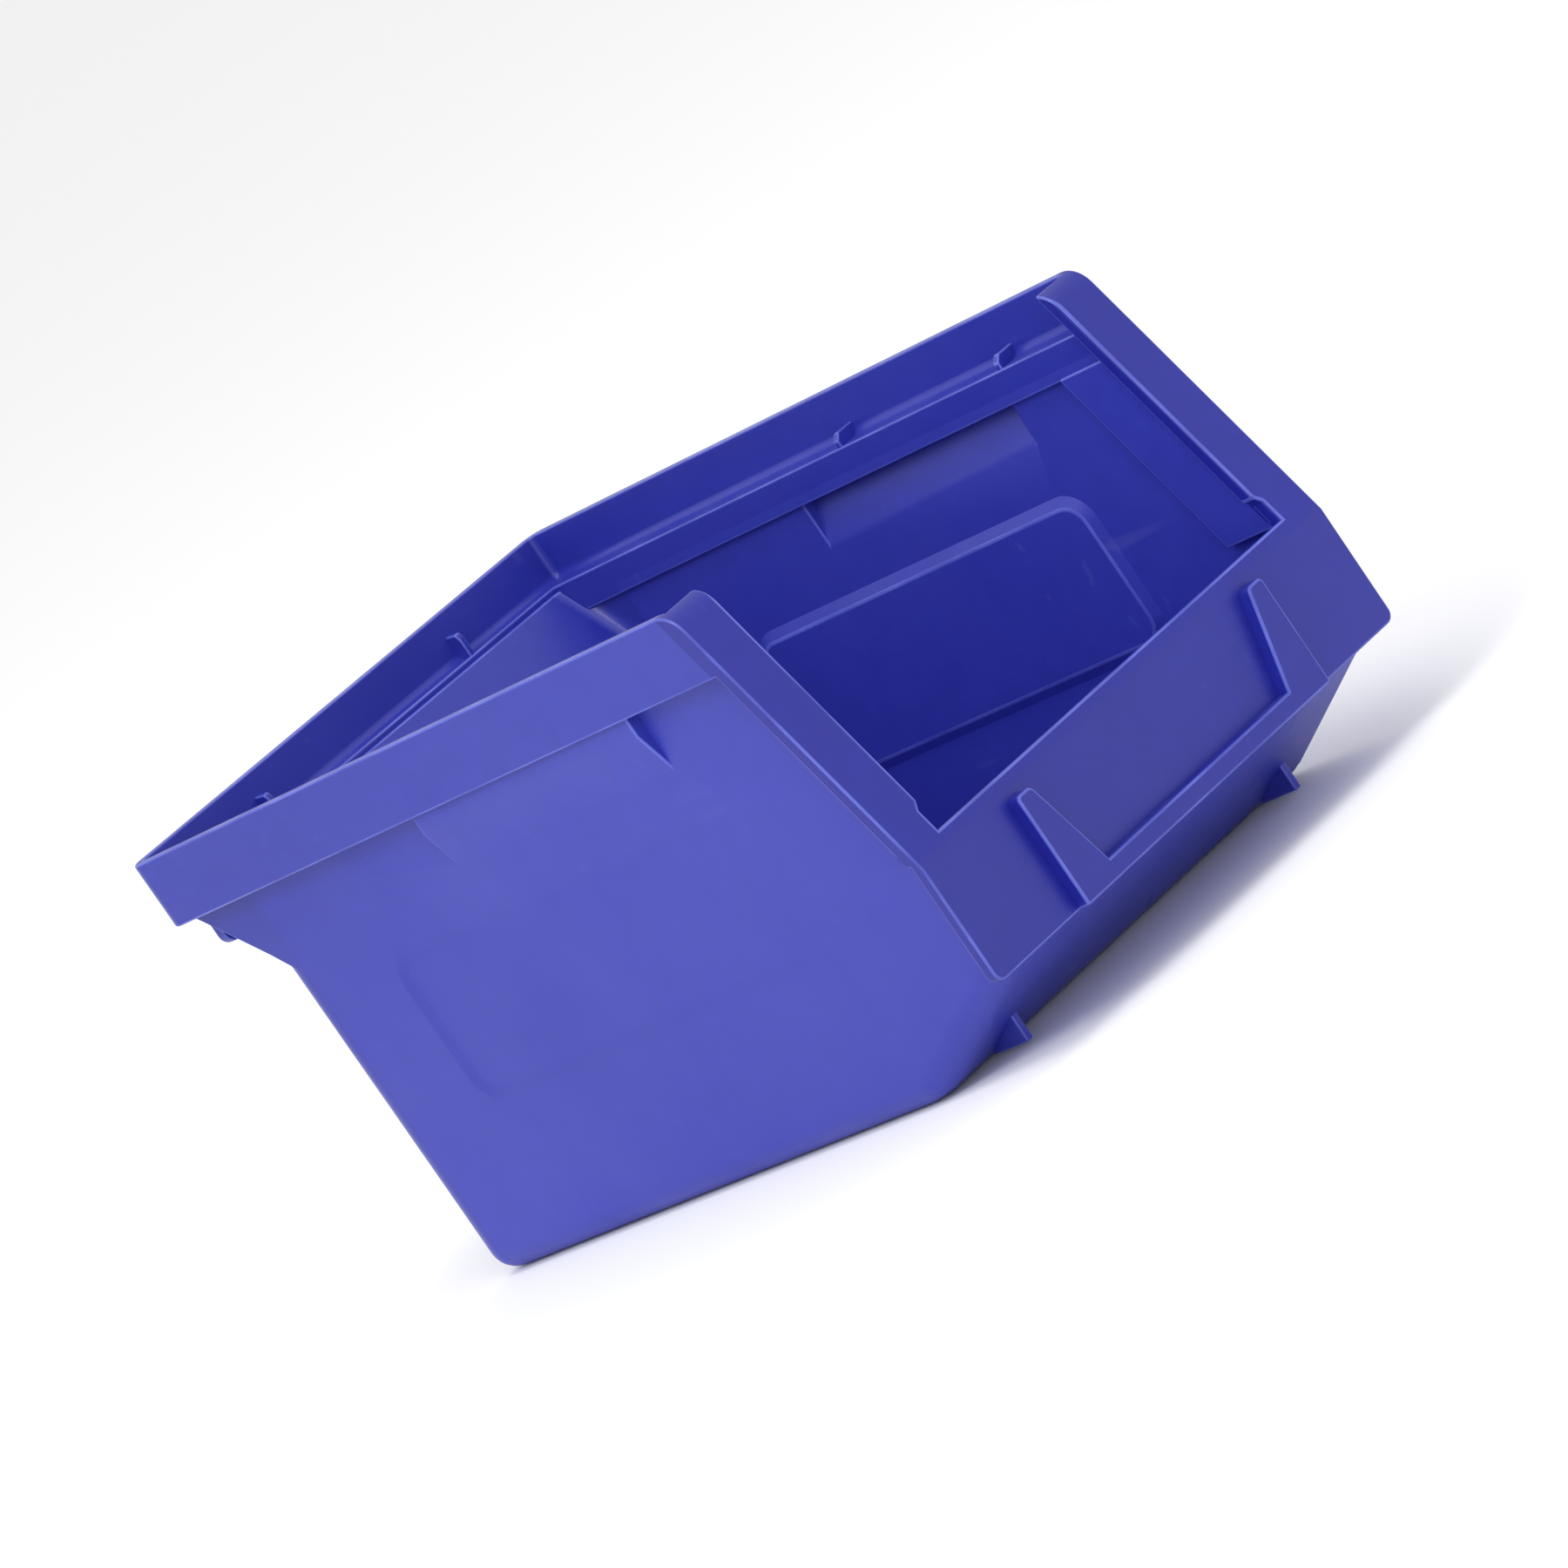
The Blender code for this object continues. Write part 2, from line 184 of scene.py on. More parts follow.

# Colours of the plastic, deep and pale for its flow marks, of its scuffs and dust, and the pale
# colour painted on the rounded edges as a highlight
# The wall, rim and label colours are one plastic at three brightnesses: painted shade makes the
# label parts, which face the lamps, darkest, and the rim darker than the walls and floor.
WALL_DEEP = (0.024, 0.031, 0.345)
WALL_PALE = (0.030, 0.039, 0.390)
RIM_DEEP = (0.018, 0.025, 0.310)
RIM_PALE = (0.023, 0.032, 0.350)
LABEL_DEEP = (0.008, 0.011, 0.235)
LABEL_PALE = (0.010, 0.014, 0.265)
SCUFF_COLOUR = (0.10, 0.12, 0.46)
PAINTED_EDGE_HIGHLIGHT = (0.13, 0.16, 0.62)
DUST_COLOUR = (0.35, 0.34, 0.36)

# How much of each shows, and what it does to the roughness
WALL_ROUGHNESS = 0.42
RIM_ROUGHNESS = 0.36
LABEL_ROUGHNESS = 0.4
MOTTLE_SHARE = 0.22
MOTTLE_SHADE = 0.8
SCRATCH_SHARE = 0.22
# The next share is of the painted highlight on the rounded edges.
PAINTED_EDGE_HIGHLIGHT_SHARE = 0.7
DUST_SHARE = 0.05
SMOOTHEST = -0.05
ROUGHEST = 0.06
SCRATCH_ROUGHER = 0.16
RUBBED_SMOOTHER = 0.18
DUST_ROUGHER = 0.2
REFRACTION = 1.49  # of polypropylene

# Heights of the surface's own relief
WAVE_HEIGHT = 0.35 * MM
GRAIN_HEIGHT = 0.012 * MM
SCRATCH_DEPTH = 0.02 * MM

# The picture
CAMERA_PLACE = Vector((-1.3608, -1.6534, 0.3889))
CAMERA_LENS = 223.6
CAMERA_ROLL = radians(34.4)
CAMERA_REACH = 100
AIM = Vector((0, 0, TOP / 2))
FLOOR_REACH = 40
FLOOR_COLOUR = (0.9, 0.9, 0.9, 1)
FLOOR_ROUGHNESS = 0.9
SKY_COLOUR = (1, 1, 1, 1)
SKY_STRENGTH = 0.97
SOFTBOXES = (  # name, place, width and height, power in watts
    ("key_light", (-2.0, -0.5, 1.9), (1.0, 1.0), 18),
    ("front_light", (-1.1, -1.9, 0.45), (0.9, 0.6), 7),
    ("top_light", (-0.5, -0.3, 2.2), (1.0, 1.0), 14),
)

# The front plane that the strips lie in leans back as it rises
_, (BAND_FRONT_Y, _), (BAND_FRONT_Z, _) = extent("right_front_band")
_, (LIP_FRONT_Y, _), _ = extent("right_lip")
LEAN = (LIP_FRONT_Y - BAND_FRONT_Y) / (LIP_LOW - BAND_FRONT_Z)
LEAN_LENGTH = sqrt(1 + LEAN * LEAN)


def slope_y(z, behind=0.0):
    """Y at height z of the plane that lies a distance behind the strips' front face."""
    return STRIP_FRONT + LEAN * (z - STRIP_LOW) + behind * LEAN_LENGTH


def shoulder_y(z, share):
    """Y at height z inside the leaning shoulder, at a share of its thickness from the inside."""
    lean = (SHOULDER_REAR - REAR_OUTER) / (LEDGE_LOW - SHOULDER_LOW)
    return REAR_OUTER - WALL * (1 - share) + lean * (z - SHOULDER_LOW)


def chin_z(y):
    """Height of the chin's outer face at y."""
    return PLATE_LOW * (BASE_FRONT - y) / (BASE_FRONT - PLATE_BACK)


# ---- mesh tools ----


def along_x(u, v, w):
    """Places an outline in Y and Z that is extruded along X."""
    return Vector((w, u, v))


def along_y(u, v, w):
    """Places an outline in X and Z that is extruded along Y."""
    return Vector((u, w, v))


def skin(rings):
    """A closed surface through rings of points that all have the same count."""
    bm = bmesh.new()
    loops = [[bm.verts.new(point) for point in ring] for ring in rings]
    count = len(loops[0])
    for near, far in zip(loops, loops[1:]):
        for i in range(count):
            j = (i + 1) % count
            bm.faces.new((near[i], near[j], far[j], far[i]))
    bm.faces.new(loops[0])
    bm.faces.new(list(reversed(loops[-1])))
    bmesh.ops.remove_doubles(bm, verts=bm.verts, dist=TOUCH / 2)
    bmesh.ops.recalc_face_normals(bm, faces=bm.faces)
    return bm


def prism(outline, place, low, high):
    """Extrudes an outline of (u, v) points from low to high; place(u, v, w) gives each corner."""
    return skin([[place(u, v, w) for u, v in outline] for w in (low, high)])


def mirrored(bm):
    """A copy of the mesh on the other side of the bin."""
    other = bm.copy()
    bmesh.ops.scale(other, vec=(-1, 1, 1), verts=other.verts)
    bmesh.ops.reverse_faces(other, faces=other.faces)
    return other


def both_sides(bm):
    """The mesh for the right side, and its mirror image for the left."""
    return [bm, mirrored(bm)]


def arc(centre, radius, start, end, steps=ARC_STEPS):
    """Points on an arc, angles in degrees."""
    turns = [radians(start + (end - start) * i / steps) for i in range(steps + 1)]
    return [(centre[0] + radius * cos(t), centre[1] + radius * sin(t)) for t in turns]


def rounded_rectangle(low, high, radius):
    """Corner points of a rectangle from low to high, with round corners."""
    centres = (
        (high[0] - radius, high[1] - radius),
        (low[0] + radius, high[1] - radius),
        (low[0] + radius, low[1] + radius),
        (high[0] - radius, low[1] + radius),
    )
    points = []
    for quarter, centre in enumerate(centres):
        points += arc(centre, radius, 90 * quarter, 90 * quarter + 90)
    return points


def round_edges(bm, radius, chosen, steps=ARC_STEPS):
    """Rounds the edges whose middle and direction are chosen."""
    edges = []
    for edge in bm.edges:
        start, end = (vert.co for vert in edge.verts)
        if chosen((start + end) / 2, (end - start).normalized()):
            edges.append(edge)
    bmesh.ops.bevel(
        bm,
        geom=edges,
        offset=radius,
        segments=steps,
        profile=ROUND,
        affect="EDGES",
        clamp_overlap=False,
    )


def new_object(name, bm):
    """Turns a working mesh into an object of the scene."""
    mesh = bpy.data.meshes.new(name)
    bm.to_mesh(mesh)
    bm.free()
    piece = bpy.data.objects.new(name, mesh)
    bpy.context.scene.collection.objects.link(piece)
    return piece


def settle(piece):
    """Replaces the piece's mesh with what its modifiers make of it."""
    graph = bpy.context.evaluated_depsgraph_get()
    mesh = bpy.data.meshes.new_from_object(piece.evaluated_get(graph))
    piece.modifiers.clear()
    piece.data = mesh


def combine(piece, meshes, operation):
    """Joins meshes to the piece, cuts them from it, or keeps what is common."""
    for bm in meshes:
        tool = new_object("tool", bm)
        step = piece.modifiers.new("Step", "BOOLEAN")
        step.operation = operation
        step.solver = "EXACT"
        step.object = tool
        settle(piece)
        bpy.data.objects.remove(tool)


def tidy(bm):
    """Joins points that lie together and faces that lie flat."""
    bmesh.ops.remove_doubles(bm, verts=bm.verts, dist=TOUCH)
    bmesh.ops.dissolve_limit(
        bm,
        angle_limit=FLAT,
        verts=bm.verts,
        edges=bm.edges,
        use_dissolve_boundaries=False,
    )


# ---- the moulding ----


def tub_outside():
    """The outside of the tub, as if it were solid."""
    middle = STRIP_THICK / 2
    low = PLATE_TOP - PLATE_LAP
    front = slope_y(low, middle)
    top = LEDGE_LOW + LAP
    outline = [
        (front, chin_z(front)),
        (BASE_FRONT, 0),
        (REAR_OUTER, 0),
        (REAR_OUTER, SHOULDER_LOW),
        (SHOULDER_REAR, LEDGE_LOW),
        (SHOULDER_REAR, top),
        (slope_y(top, middle), top),
        (front, low),
    ]
    bm = prism(outline, along_x, -WALL_OUTER, WALL_OUTER)

    def chosen(middle_point, direction):
        if middle_point.z > LEDGE_LOW - NEAR or middle_point.y < front + NEAR:
            return False
        if abs(direction.x) > ALONG:
            return middle_point.z < NEAR
        return middle_point.y > slope_y(middle_point.z, STRIP_THICK)

    round_edges(bm, OUTSIDE_RADIUS, chosen)
    return bm


def tub_inside():
    """The space inside the tub, open at the top and over the label plate."""
    rise = WALL * sqrt(1 + (PLATE_LOW / (BASE_FRONT - PLATE_BACK)) ** 2)
    floor_front = BASE_FRONT + (rise - WALL) * (BASE_FRONT - PLATE_BACK) / PLATE_LOW
    rear_inner = REAR_OUTER - WALL
    top = TOP + CLEAR
    front = PLATE_BACK + PLATE_BACKING
    low = PLATE_TOP - PLATE_BACKING
    outline = [
        (front, chin_z(front) + rise),
        (floor_front, WALL),
        (rear_inner, WALL),
        (rear_inner, SHOULDER_LOW),
        (shoulder_y(top, 0), top),
        (FRONT - CLEAR, top),
        (FRONT - CLEAR, low),
        (front, low),
    ]
    bm = prism(outline, along_x, -WALL_INNER, WALL_INNER)

    def chosen(middle_point, direction):
        if middle_point.z > top - NEAR or middle_point.y < front - NEAR:
            return False
        if abs(direction.x) > ALONG:
            return middle_point.z < low - NEAR
        return True

    round_edges(bm, INSIDE_RADIUS, chosen)
    return bm


def rim_profile():
    """The rim in section: (inset at the sides, inset at the back, height) round its outline."""
    high = TOP + SPARE
    centre = (LIP_THICK + LIP_FILLET, LEDGE_TOP + LIP_FILLET)
    side_edge = HALF - LEDGE_INNER
    back_edge = BACK - BACK_LEDGE_INNER
    in_wall = HALF - WALL_INNER - LAP
    profile = [(0, 0, LIP_LOW), (0, 0, high), (LIP_THICK, LIP_THICK, high)]
    profile += [(inset, inset, z) for inset, z in arc(centre, LIP_FILLET, 180, 270)]
    profile += [(side_edge, back_edge, LEDGE_TOP), (side_edge, back_edge, LEDGE_LOW)]
    profile.append((side_edge, BACK - shoulder_y(BAND_LOW, BAND_INNER_SHARE), BAND_LOW))
    profile.append((in_wall, BACK - shoulder_y(BAND_LOW, BAND_OUTER_SHARE), BAND_LOW))
    profile.append((in_wall, BACK - shoulder_y(LEDGE_LOW, LEDGE_OUTER_SHARE), LEDGE_LOW))
    profile += [(LIP_THICK, LIP_THICK, LEDGE_LOW), (LIP_THICK, LIP_THICK, LIP_LOW)]
    return profile


def rim():
    """The ledge, its band and the lip along both sides and the back, swept round the corners."""
    profile = rim_profile()
    front = RIM_IN_STRIP * STRIP_THICK

    def corner(side, turn):
        ring = []
        for side_inset, back_inset, z in profile:
            radius = max(CORNER_RADIUS - side_inset, 0)
            x = HALF - side_inset - radius * (1 - cos(turn))
            y = BACK - back_inset - radius * (1 - sin(turn))
            ring.append(Vector((side * x, y, z)))
        return ring

    def end(side):
        return [Vector((side * (HALF - d), slope_y(z, front), z)) for d, _, z in profile]

    turns = [radians(90 * i / ARC_STEPS) for i in range(ARC_STEPS + 1)]
    rings = [end(1)]
    rings += [corner(1, turn) for turn in turns]
    rings += [corner(-1, turn) for turn in reversed(turns)]
    rings.append(end(-1))
    return skin(rings)


def strip():
    """A sloping strip beside the opening. Its foot is narrower, and the outline trims its top."""
    low = PLATE_TOP - STRIP_LAP
    high = TOP + 2 * SPARE
    foot_inner = STRIP_INNER + STRIP_JOG
    outline = [
        (foot_inner, low),
        (foot_inner, PLATE_TOP + JOG_LOW),
        (STRIP_INNER, PLATE_TOP + JOG_HIGH),
        (STRIP_INNER, high),
        (HALF, high),
        (HALF, low),
    ]

    def on_slope(x, z, behind):
        return Vector((x, slope_y(z, behind), z))

    bm = prism(outline, on_slope, -STRIP_SPARE, STRIP_THICK)

    def inner_front(middle_point, direction):
        plane = slope_y(middle_point.z, STRIP_THICK / 2)
        steep = abs(direction.z) > abs(direction.x)
        return steep and middle_point.y < plane and middle_point.x < foot_inner + NEAR

    round_edges(bm, STRIP_EDGE_RADIUS + STRIP_SPARE, inner_front)
    return bm


def side_outline():
    """The bin seen from its side, with room behind and below: what the mouldings are trimmed to."""
    centre_z = TOP - APEX_RADIUS
    lean_angle = 180 - degrees(atan2(LEAN, 1))
    outline = [(BACK + CLEAR, TOP), (BACK + CLEAR, -CLEAR), (slope_y(-CLEAR), -CLEAR)]
    outline += arc((slope_y(centre_z, APEX_RADIUS), centre_z), APEX_RADIUS, lean_angle, 90)
    return prism(outline, along_x, -HALF - CLEAR, HALF + CLEAR)


def round_footed(half, low, high, radius):
    """Outline of an upright plate with round lower corners."""
    outline = arc((-half + radius, low + radius), radius, 180, 270)
    outline += arc((half - radius, low + radius), radius, 270, 360)
    return outline + [(half, high), (-half, high)]


def label_plate():
    """The upright plate at the front, as wide as the bin."""
    outline = round_footed(HALF, PLATE_LOW, PLATE_TOP, PLATE_RADIUS)
    return prism(outline, along_y, PLATE_FACE, PLATE_BACK)


def backing_gap():
    """The wall behind the plate is left out in the middle, which steps the plate's top edge."""
    half = RIB_INNER_LOW
    slant = 1 * MM
    front = PLATE_BACK - GAP_LAP
    outline = [
        (-half, front),
        (half, front),
        (half + slant, PLATE_BACK + CLEAR),
        (-half - slant, PLATE_BACK + CLEAR),
    ]

    def along_z(u, v, w):
        return Vector((u, v, w))

    return prism(outline, along_z, CHIN_TOP + GAP_FOOT, TOP)


def front_band():
    """The thicker stretch of side wall behind a strip."""
    near = BAND_IN_STRIP * STRIP_THICK
    far = STRIP_THICK + FRONT_BAND_WIDE
    low = PLATE_TOP - LAP
    high = BAND_LOW + FRONT_BAND_RISE
    outline = [
        (slope_y(low, near), low),
        (slope_y(low, far), low),
        (slope_y(high, far), high),
        (slope_y(high, near), high),
    ]
    return prism(outline, along_x, FRONT_BAND_INNER, WALL_INNER + SINK)


def wall_field(base_x, base_inset, top_x, top_inset):
    """A raised or sunk field of a side wall, with a slanted border and round corners."""
    rings = []
    for x, inset in ((base_x, base_inset), (top_x, top_inset)):
        outline = rounded_rectangle(
            (PANEL_FRONT + inset, PANEL_LOW + inset),
            (PANEL_REAR - inset, PANEL_TOP - inset),
            PANEL_RADIUS - inset,
        )
        rings.append([Vector((x, y, z)) for y, z in outline])
    return skin(rings)


def grip_pocket_outside():
    """The wedge that a pocket makes on the outside. It runs up into the lip."""
    outline = [
        (WALL_OUTER - SINK, POCKET_LOW - POCKET_SKIRT),
        (POCKET_OUTER + SINK, BAND_LOW - POCKET_THICK),
        (POCKET_OUTER + SINK, LIP_LOW + LAP),
        (WALL_OUTER - SINK, LIP_LOW + LAP),
    ]
    return prism(outline, along_y, POCKET_FRONT, POCKET_REAR)


def grip_pocket_hollow():
    """The wedge that is open to the inside of the bin, deepest under the upper band."""
    outer = POCKET_OUTER - POCKET_THICK
    outline = [
        (WALL_INNER - SINK, POCKET_LOW + HOLLOW_LIFT),
        (outer, BAND_LOW),
        (outer, BAND_LOW + POCKET_RISE),
        (WALL_INNER - SINK, BAND_LOW + POCKET_RISE),
    ]
    return prism(outline, along_y, POCKET_FRONT + POCKET_THICK, POCKET_REAR - POCKET_THICK)


def shoulder_cheek():
    """Closes an end of the groove behind the shoulder."""
    high = LEDGE_LOW + CHEEK_LAP
    foot = OUTSIDE_RADIUS + CHEEK_FOOT
    rear = BACK - CHEEK_SET_BACK
    outline = [
        (REAR_OUTER - foot, SHOULDER_LOW - foot),
        (REAR_OUTER, SHOULDER_LOW),
        (rear, LEDGE_LOW - CHEEK_SET_BACK),
        (rear, high),
        (REAR_OUTER - foot, high),
    ]
    return prism(outline, along_x, WALL_INNER + CHEEK_INSET, WALL_OUTER)


def hanging_lip():
    """The lip under the back rim that hooks over a louvre."""
    outline = round_footed(HANG_HALF, HANG_LOW, LIP_LOW + LAP, HANG_RADIUS)
    return prism(outline, along_y, BACK - LIP_THICK, BACK)


def frame_mesh():
    """The rim, the hanging lip, the sloping strips and the label plate, joined and trimmed."""
    piece = new_object("frame_mesh", rim())
    combine(piece, both_sides(strip()), "UNION")
    combine(piece, [label_plate()], "UNION")
    combine(piece, [hanging_lip()], "UNION")
    combine(piece, [side_outline()], "INTERSECT")
    return piece


def tub_mesh():
    """The floor, the chin, the side walls and the back wall with what is moulded into them."""
    piece = new_object("tub_mesh", tub_outside())
    combine(piece, both_sides(grip_pocket_outside()), "UNION")
    combine(piece, [tub_inside(), backing_gap()], "DIFFERENCE")
    combine(piece, both_sides(shoulder_cheek()), "UNION")
    combine(piece, both_sides(grip_pocket_hollow()), "DIFFERENCE")
    combine(piece, both_sides(front_band()), "UNION")
    skirt = -PANEL_BORDER / 2
    raised = wall_field(WALL_INNER + SINK, skirt, PANEL_TOP_X, PANEL_BORDER)
    combine(piece, both_sides(raised), "UNION")
    sunk = wall_field(WALL_OUTER + SINK, skirt, WALL_OUTER - PANEL_SUNK, PANEL_BORDER)
    combine(piece, both_sides(sunk), "DIFFERENCE")
    return piece


def moulding():
    """The whole bin in one mesh, before its edges are rounded."""
    piece = tub_mesh()
    outer = frame_mesh()
    bm = bmesh.new()
    bm.from_mesh(outer.data)
    bpy.data.objects.remove(outer)
    combine(piece, [bm], "UNION")
    return piece


def stands_out(edge):
    """Whether an edge is a sharp one that stands out."""
    return edge.is_manifold and edge.is_convex and edge.calc_face_angle() > SHARP


def round_all(piece, cuts):
    """Rounds the sharp edges that stand out, but not round the cuts, and marks them for a smoother
    surface and a painted highlight.
    """
    bm = bmesh.new()
    bm.from_mesh(piece.data)
    tidy(bm)

    def is_cut(face):
        for point, normal in cuts:
            if all(abs((vert.co - point).dot(normal)) < TOUCH for vert in face.verts):
                return True
        return False

    worn_and_highlit = bm.faces.layers.float.new(WORN_AND_HIGHLIT)
    sharp = []
    for edge in bm.edges:
        if stands_out(edge) and not any(is_cut(face) for face in edge.link_faces):
            sharp.append(edge)
    made = bmesh.ops.bevel(
        bm,
        geom=sharp,
        offset=EDGE_RADIUS,
        segments=EDGE_STEPS,
        profile=ROUND,
        affect="EDGES",
        clamp_overlap=False,
        miter_outer="ARC",
    )
    for face in made["faces"]:
        longest = max(edge.calc_length() for edge in face.edges)
        if face.calc_area() < EDGE_RADIUS * longest:
            face[worn_and_highlit] = 1.0
    bm.to_mesh(piece.data)
    bm.free()


# ---- the pieces that the moulding is cut into ----


def cut_regions():
    """Where each piece lies, in the order of cutting: (piece, outline in Y and Z, X range)."""
    far = 3 * CLEAR
    reach = HALF + CLEAR
    plate_cut = PLATE_TOP + 0.7 * MM
    panel_cut = PLATE_BACK + PLATE_BACKING + 0.8 * MM
    base_cut = WALL + INSIDE_RADIUS + 2 * MM
    chin_cut = BASE_FRONT + 2 * MM
    wall_cut = REAR_OUTER - WALL - INSIDE_RADIUS - 1 * MM
    rim_cut = LIP_LOW - 0.7 * MM
    behind = STRIP_THICK + 1 * MM
    strip_outline = [
        (FRONT - far, plate_cut),
        (slope_y(plate_cut, behind), plate_cut),
        (slope_y(TOP + CLEAR, behind), TOP + CLEAR),
        (FRONT - far, TOP + CLEAR),
    ]
    chin_outline = [
        (FRONT - CLEAR, -CLEAR),
        (chin_cut, -CLEAR),
        (chin_cut, base_cut),
        (FRONT - CLEAR, base_cut + chin_z(FRONT - CLEAR)),
    ]
    back_rim_front = BACK_LEDGE_INNER - 6 * MM
    hanging_cut = BACK - 5 * MM
    back_rim_outline = [
        (back_rim_front, rim_cut),
        (hanging_cut, rim_cut),
        (hanging_cut, HANG_LOW - CLEAR),
        (BACK + CLEAR, HANG_LOW - CLEAR),
        (BACK + CLEAR, TOP + CLEAR),
        (back_rim_front, TOP + CLEAR),
    ]

    def block(y_low, y_high, z_low, z_high):
        return [(y_low, z_low), (y_high, z_low), (y_high, z_high), (y_low, z_high)]

    whole = (-reach, reach)
    regions = [("sloping_strip_" + side, strip_outline, half) for side, half in halves(reach)]
    regions.append(("label_panel", block(FRONT - far, panel_cut, -CLEAR, plate_cut), whole))
    regions.append(("chin_slope", chin_outline, whole))
    regions.append(("base", block(chin_cut - CLEAR, BACK + CLEAR, -CLEAR, base_cut), whole))
    regions.append(("rim_back", back_rim_outline, whole))
    regions.append(("panel_back", block(wall_cut, BACK + CLEAR, -CLEAR, rim_cut), whole))
    rims = block(FRONT - CLEAR, BACK + CLEAR, rim_cut, TOP + CLEAR)
    regions += [("rim_" + side, rims, half) for side, half in halves(reach)]
    sides = block(FRONT - CLEAR, BACK + CLEAR, -CLEAR, TOP + CLEAR)
    regions += [("side_" + side, sides, half) for side, half in halves(reach)]
    return regions


def halves(reach):
    """The X ranges of the left and the right half of the bin."""
    return [("left", (-reach, 0)), ("right", (0, reach))]


def cut_up(body):
    """Cuts the moulding into its pieces, rounds their edges, and returns them by name."""
    pieces = {}
    cuts = []
    for name, outline, (low, high) in cut_regions():
        piece = bpy.data.objects.new(name, body.data.copy())
        bpy.context.scene.collection.objects.link(piece)
        region = prism(outline, along_x, low, high)
        cuts += [(face.calc_center_median(), face.normal.copy()) for face in region.faces]
        combine(body, [region.copy()], "DIFFERENCE")
        combine(piece, [region], "INTERSECT")
        pieces[name] = piece
    bpy.data.objects.remove(body)
    for piece in pieces.values():
        round_all(piece, cuts)
    return pieces


# ---- the label frame and the small ribs ----


def rounded_solid(bm, radius):
    """Rounds all the edges of a small solid, and marks the new faces for a smoother surface and a
    painted highlight.
    """
    worn_and_highlit = bm.faces.layers.float.new(WORN_AND_HIGHLIT)
    edges = [edge for edge in bm.edges if stands_out(edge)]
    made = bmesh.ops.bevel(
        bm, geom=edges, offset=radius, segments=EDGE_STEPS, profile=ROUND, affect="EDGES"
    )
    for face in made["faces"]:
        face[worn_and_highlit] = 1.0
    return bm


def label_frame():
    """The two tapered ribs and the ledge between them that hold a label card."""
    nib = RIB_OUTER - RIB_NIB
    outline = [
        (RIB_OUTER, PLATE_LOW + RIB_FOOT),
        (RIB_OUTER, RIB_TOP),
        (nib, RIB_TOP),
        (RIB_INNER_LOW, LABEL_LEDGE_TOP),
    ]
    outline += [(-x, z) for x, z in reversed(outline)]
    bm = prism(outline, along_y, FRONT, PLATE_FACE + SINK)

    def nib_corner(middle_point, direction):
        return abs(direction.y) > ALONG and middle_point.z > RIB_TOP - NEAR

    round_edges(bm, RIB_NIB_RADIUS, nib_corner, RIB_NIB_STEPS)
    return new_object("label_frame", rounded_solid(bm, FRAME_EDGE_RADIUS))


def ledge_stop():
    """A stop rib on the right ledge, from the lip inwards. Its foot is at the origin."""
    reach = LIP_INNER - LEDGE_INNER - STOP_CLEAR
    chamfer = 1.6 * MM
    outline = [
        (SINK, -SINK),
        (SINK, STOP_HEIGHT),
        (chamfer - reach, STOP_HEIGHT),
        (-reach, STOP_HEIGHT - chamfer),
        (-reach, -SINK),
    ]
    bm = prism(outline, along_y, -STOP_THICK / 2, STOP_THICK / 2)
    return rounded_solid(bm, RIB_EDGE_RADIUS)


def back_stop():
    """A taller stop rib on the back ledge, from the lip inwards, with a slanted end."""
    reach = BACK - BACK_LEDGE_INNER - LIP_THICK - STOP_CLEAR
    end_height = BACK_STOP_HEIGHT - 2 * MM
    knee_height = BACK_STOP_HEIGHT - 0.4 * MM
    knee = 0.8 * MM
    outline = [
        (SINK, -SINK),
        (SINK, BACK_STOP_HEIGHT),
        (knee - reach, knee_height),
        (-reach, end_height),
        (-reach, -SINK),
    ]
    bm = prism(outline, along_x, -STOP_THICK / 2, STOP_THICK / 2)
    return rounded_solid(bm, RIB_EDGE_RADIUS)


def chin_fin():
    """A three-cornered fin under the chin."""
    outline = [
        (FIN_FRONT, chin_z(FIN_FRONT) + SINK),
        (FIN_FRONT, FIN_LOW),
        (FIN_REAR, FIN_LOW),
        (FIN_REAR, chin_z(FIN_REAR) + SINK),
    ]
    bm = prism(outline, along_x, -FIN_THICK / 2, FIN_THICK / 2)
    return rounded_solid(bm, RIB_EDGE_RADIUS)


def row_tree():
    """Geometry nodes that set a shape out in a straight row."""
    tree = bpy.data.node_groups.new("rib_row", "GeometryNodeTree")
    inputs = (
        ("Shape", "NodeSocketGeometry"),
        ("Count", "NodeSocketInt"),
        ("First", "NodeSocketVector"),
        ("Step", "NodeSocketVector"),
        ("Turn", "NodeSocketFloat"),
        ("Finish", "NodeSocketMaterial"),
    )
    for name, kind in inputs:
        tree.interface.new_socket(name, in_out="INPUT", socket_type=kind)
    tree.interface.new_socket("Row", in_out="OUTPUT", socket_type="NodeSocketGeometry")
    given = tree.nodes.new("NodeGroupInput")
    line = tree.nodes.new("GeometryNodeMeshLine")
    line.mode = "OFFSET"
    turn = tree.nodes.new("ShaderNodeCombineXYZ")
    place = tree.nodes.new("GeometryNodeInstanceOnPoints")
    real = tree.nodes.new("GeometryNodeRealizeInstances")
    paint = tree.nodes.new("GeometryNodeSetMaterial")
    result = tree.nodes.new("NodeGroupOutput")
    links = (
        (given.outputs["Count"], line.inputs["Count"]),
        (given.outputs["First"], line.inputs["Start Location"]),
        (given.outputs["Step"], line.inputs["Offset"]),
        (given.outputs["Turn"], turn.inputs["Z"]),
        (line.outputs["Mesh"], place.inputs["Points"]),
        (given.outputs["Shape"], place.inputs["Instance"]),
        (turn.outputs["Vector"], place.inputs["Rotation"]),
        (place.outputs["Instances"], real.inputs["Geometry"]),
        (real.outputs["Geometry"], paint.inputs["Geometry"]),
        (given.outputs["Finish"], paint.inputs["Material"]),
        (paint.outputs["Geometry"], result.inputs["Row"]),
    )
    for start, end in links:
        tree.links.new(start, end)
    return tree


